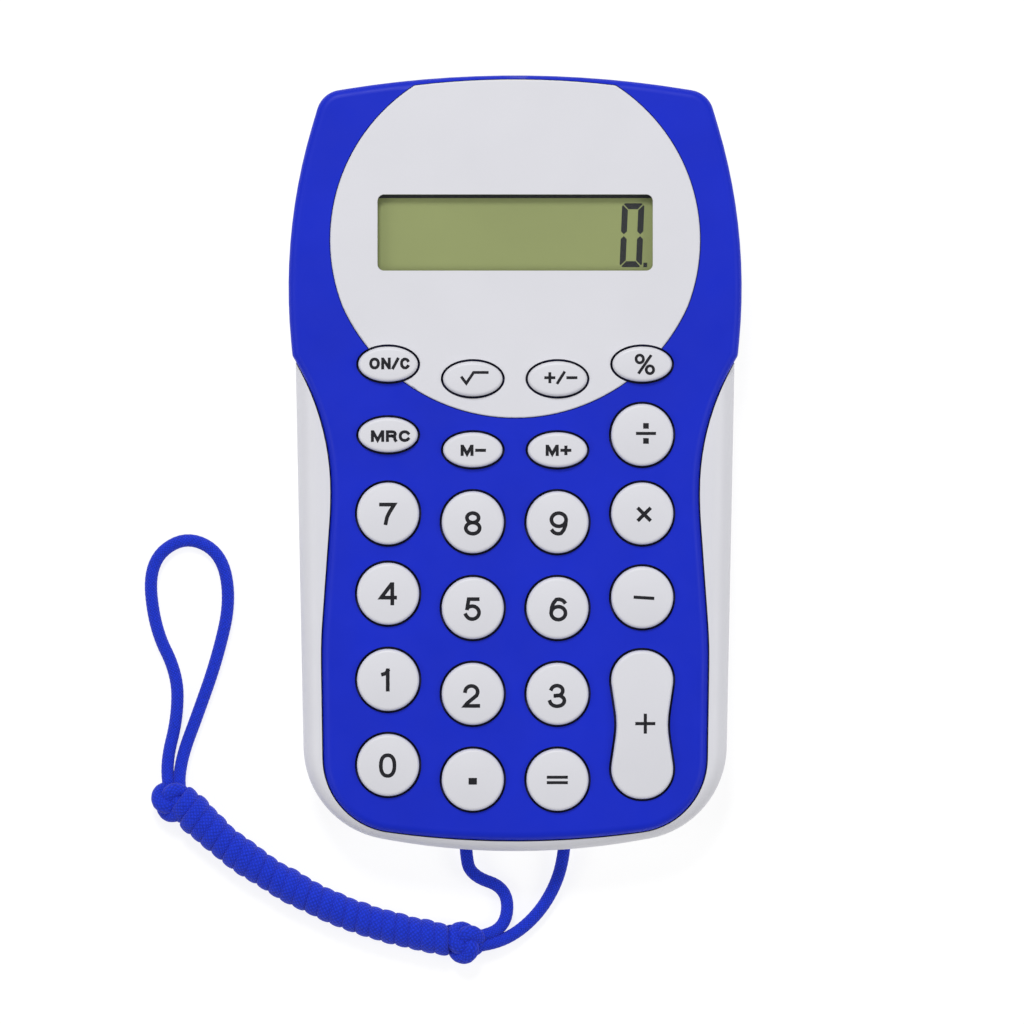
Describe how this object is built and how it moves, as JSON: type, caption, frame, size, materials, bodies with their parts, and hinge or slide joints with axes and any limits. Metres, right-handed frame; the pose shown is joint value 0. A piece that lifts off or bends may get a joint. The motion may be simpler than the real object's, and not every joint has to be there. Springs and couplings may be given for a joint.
{
  "type": "pocket calculator",
  "caption": "Flat pocket calculator with raised rubber-domed keys, a round display panel with a liquid crystal window, and a corded wrist lanyard.",
  "frame": {"origin": "under the middle of the case, in the plane of the rubber feet", "axes": "+Z out of the key face, +Y towards the display end, +X to the right of the person using it"},
  "size_m": [0.0903, 0.1339, 0.014],
  "materials": {
    "blue_plastic": "satin moulded",
    "light_plastic": "satin moulded",
    "clear_window": "clear",
    "lcd_glass": "clear",
    "lcd_film": "satin film",
    "inner_plastic": "moulded",
    "silicone": "matt",
    "board": "solder mask",
    "epoxy": "gloss",
    "component_metal": "plated",
    "screw_steel": "zinc",
    "foot_rubber": "matt",
    "blue_cord": "braided"
  },
  "bodies": {
    "calculator": {"battery_contact_negative": "component_metal", "battery_contact_positive": "component_metal", "board_screws": "screw_steel", "button_cell": "component_metal", "case_screws": "screw_steel", "circuit_board": "board", "controller_blob": "epoxy", "display_panel": "light_plastic", "display_window": "clear_window", "filter_capacitor": "component_metal", "front_case": "blue_plastic", "keypad_membrane": "silicone", "lanyard_lower_knot": "blue_cord", "lanyard_tether": "blue_cord", "lanyard_upper_knot": "blue_cord", "lanyard_whipping": "blue_cord", "lanyard_wrist_loop": "blue_cord", "lcd_front_glass": "clear_window", "lcd_front_polariser": "lcd_film", "lcd_holder": "inner_plastic", "lcd_rear_glass": "lcd_glass", "lcd_reflector": "lcd_film", "oscillator_resistor": "epoxy", "rear_case": "light_plastic", "rubber_feet": "foot_rubber", "zebra_connector": "silicone"},
    "key_0": {"key_0": "light_plastic"},
    "key_1": {"key_1": "light_plastic"},
    "key_2": {"key_2": "light_plastic"},
    "key_3": {"key_3": "light_plastic"},
    "key_4": {"key_4": "light_plastic"},
    "key_5": {"key_5": "light_plastic"},
    "key_6": {"key_6": "light_plastic"},
    "key_7": {"key_7": "light_plastic"},
    "key_8": {"key_8": "light_plastic"},
    "key_9": {"key_9": "light_plastic"},
    "key_add": {"key_add": "light_plastic"},
    "key_change_sign": {"key_change_sign": "light_plastic"},
    "key_decimal_point": {"key_decimal_point": "light_plastic"},
    "key_divide": {"key_divide": "light_plastic"},
    "key_equals": {"key_equals": "light_plastic"},
    "key_memory_minus": {"key_memory_minus": "light_plastic"},
    "key_memory_plus": {"key_memory_plus": "light_plastic"},
    "key_memory_recall": {"key_memory_recall": "light_plastic"},
    "key_multiply": {"key_multiply": "light_plastic"},
    "key_on_clear": {"key_on_clear": "light_plastic"},
    "key_percent": {"key_percent": "light_plastic"},
    "key_square_root": {"key_square_root": "light_plastic"},
    "key_subtract": {"key_subtract": "light_plastic"},
    "battery_cover": {"battery_cover": "light_plastic"}
  },
  "joints": [
    {"name": "key_0_press", "type": "slide", "parent": "calculator", "child": "key_0", "axis": [0, 0, -1], "range_m": [0, 0.001], "stiffness_N_per_m": 800, "springref_m": -0.0002, "deforming": ["keypad_membrane"]},
    {"name": "key_1_press", "type": "slide", "parent": "calculator", "child": "key_1", "axis": [0, 0, -1], "range_m": [0, 0.001], "stiffness_N_per_m": 800, "springref_m": -0.0002, "deforming": ["keypad_membrane"]},
    {"name": "key_2_press", "type": "slide", "parent": "calculator", "child": "key_2", "axis": [0, 0, -1], "range_m": [0, 0.001], "stiffness_N_per_m": 800, "springref_m": -0.0002, "deforming": ["keypad_membrane"]},
    {"name": "key_3_press", "type": "slide", "parent": "calculator", "child": "key_3", "axis": [0, 0, -1], "range_m": [0, 0.001], "stiffness_N_per_m": 800, "springref_m": -0.0002, "deforming": ["keypad_membrane"]},
    {"name": "key_4_press", "type": "slide", "parent": "calculator", "child": "key_4", "axis": [0, 0, -1], "range_m": [0, 0.001], "stiffness_N_per_m": 800, "springref_m": -0.0002, "deforming": ["keypad_membrane"]},
    {"name": "key_5_press", "type": "slide", "parent": "calculator", "child": "key_5", "axis": [0, 0, -1], "range_m": [0, 0.001], "stiffness_N_per_m": 800, "springref_m": -0.0002, "deforming": ["keypad_membrane"]},
    {"name": "key_6_press", "type": "slide", "parent": "calculator", "child": "key_6", "axis": [0, 0, -1], "range_m": [0, 0.001], "stiffness_N_per_m": 800, "springref_m": -0.0002, "deforming": ["keypad_membrane"]},
    {"name": "key_7_press", "type": "slide", "parent": "calculator", "child": "key_7", "axis": [0, 0, -1], "range_m": [0, 0.001], "stiffness_N_per_m": 800, "springref_m": -0.0002, "deforming": ["keypad_membrane"]},
    {"name": "key_8_press", "type": "slide", "parent": "calculator", "child": "key_8", "axis": [0, 0, -1], "range_m": [0, 0.001], "stiffness_N_per_m": 800, "springref_m": -0.0002, "deforming": ["keypad_membrane"]},
    {"name": "key_9_press", "type": "slide", "parent": "calculator", "child": "key_9", "axis": [0, 0, -1], "range_m": [0, 0.001], "stiffness_N_per_m": 800, "springref_m": -0.0002, "deforming": ["keypad_membrane"]},
    {"name": "key_add_press", "type": "slide", "parent": "calculator", "child": "key_add", "axis": [0, 0, -1], "range_m": [0, 0.001], "stiffness_N_per_m": 800, "springref_m": -0.0002, "deforming": ["keypad_membrane"]},
    {"name": "key_change_sign_press", "type": "slide", "parent": "calculator", "child": "key_change_sign", "axis": [0, 0, -1], "range_m": [0, 0.001], "stiffness_N_per_m": 800, "springref_m": -0.0002, "deforming": ["keypad_membrane"]},
    {"name": "key_decimal_point_press", "type": "slide", "parent": "calculator", "child": "key_decimal_point", "axis": [0, 0, -1], "range_m": [0, 0.001], "stiffness_N_per_m": 800, "springref_m": -0.0002, "deforming": ["keypad_membrane"]},
    {"name": "key_divide_press", "type": "slide", "parent": "calculator", "child": "key_divide", "axis": [0, 0, -1], "range_m": [0, 0.001], "stiffness_N_per_m": 800, "springref_m": -0.0002, "deforming": ["keypad_membrane"]},
    {"name": "key_equals_press", "type": "slide", "parent": "calculator", "child": "key_equals", "axis": [0, 0, -1], "range_m": [0, 0.001], "stiffness_N_per_m": 800, "springref_m": -0.0002, "deforming": ["keypad_membrane"]},
    {"name": "key_memory_minus_press", "type": "slide", "parent": "calculator", "child": "key_memory_minus", "axis": [0, 0, -1], "range_m": [0, 0.001], "stiffness_N_per_m": 800, "springref_m": -0.0002, "deforming": ["keypad_membrane"]},
    {"name": "key_memory_plus_press", "type": "slide", "parent": "calculator", "child": "key_memory_plus", "axis": [0, 0, -1], "range_m": [0, 0.001], "stiffness_N_per_m": 800, "springref_m": -0.0002, "deforming": ["keypad_membrane"]},
    {"name": "key_memory_recall_press", "type": "slide", "parent": "calculator", "child": "key_memory_recall", "axis": [0, 0, -1], "range_m": [0, 0.001], "stiffness_N_per_m": 800, "springref_m": -0.0002, "deforming": ["keypad_membrane"]},
    {"name": "key_multiply_press", "type": "slide", "parent": "calculator", "child": "key_multiply", "axis": [0, 0, -1], "range_m": [0, 0.001], "stiffness_N_per_m": 800, "springref_m": -0.0002, "deforming": ["keypad_membrane"]},
    {"name": "key_on_clear_press", "type": "slide", "parent": "calculator", "child": "key_on_clear", "axis": [0, 0, -1], "range_m": [0, 0.001], "stiffness_N_per_m": 800, "springref_m": -0.0002, "deforming": ["keypad_membrane"]},
    {"name": "key_percent_press", "type": "slide", "parent": "calculator", "child": "key_percent", "axis": [0, 0, -1], "range_m": [0, 0.001], "stiffness_N_per_m": 800, "springref_m": -0.0002, "deforming": ["keypad_membrane"]},
    {"name": "key_square_root_press", "type": "slide", "parent": "calculator", "child": "key_square_root", "axis": [0, 0, -1], "range_m": [0, 0.001], "stiffness_N_per_m": 800, "springref_m": -0.0002, "deforming": ["keypad_membrane"]},
    {"name": "key_subtract_press", "type": "slide", "parent": "calculator", "child": "key_subtract", "axis": [0, 0, -1], "range_m": [0, 0.001], "stiffness_N_per_m": 800, "springref_m": -0.0002, "deforming": ["keypad_membrane"]},
    {"name": "battery_cover_turn", "type": "hinge", "parent": "calculator", "child": "battery_cover", "pos_m": [0, 0.03, 0.0006], "axis": [0, 0, -1], "range_deg": [0, 45]}
  ]
}
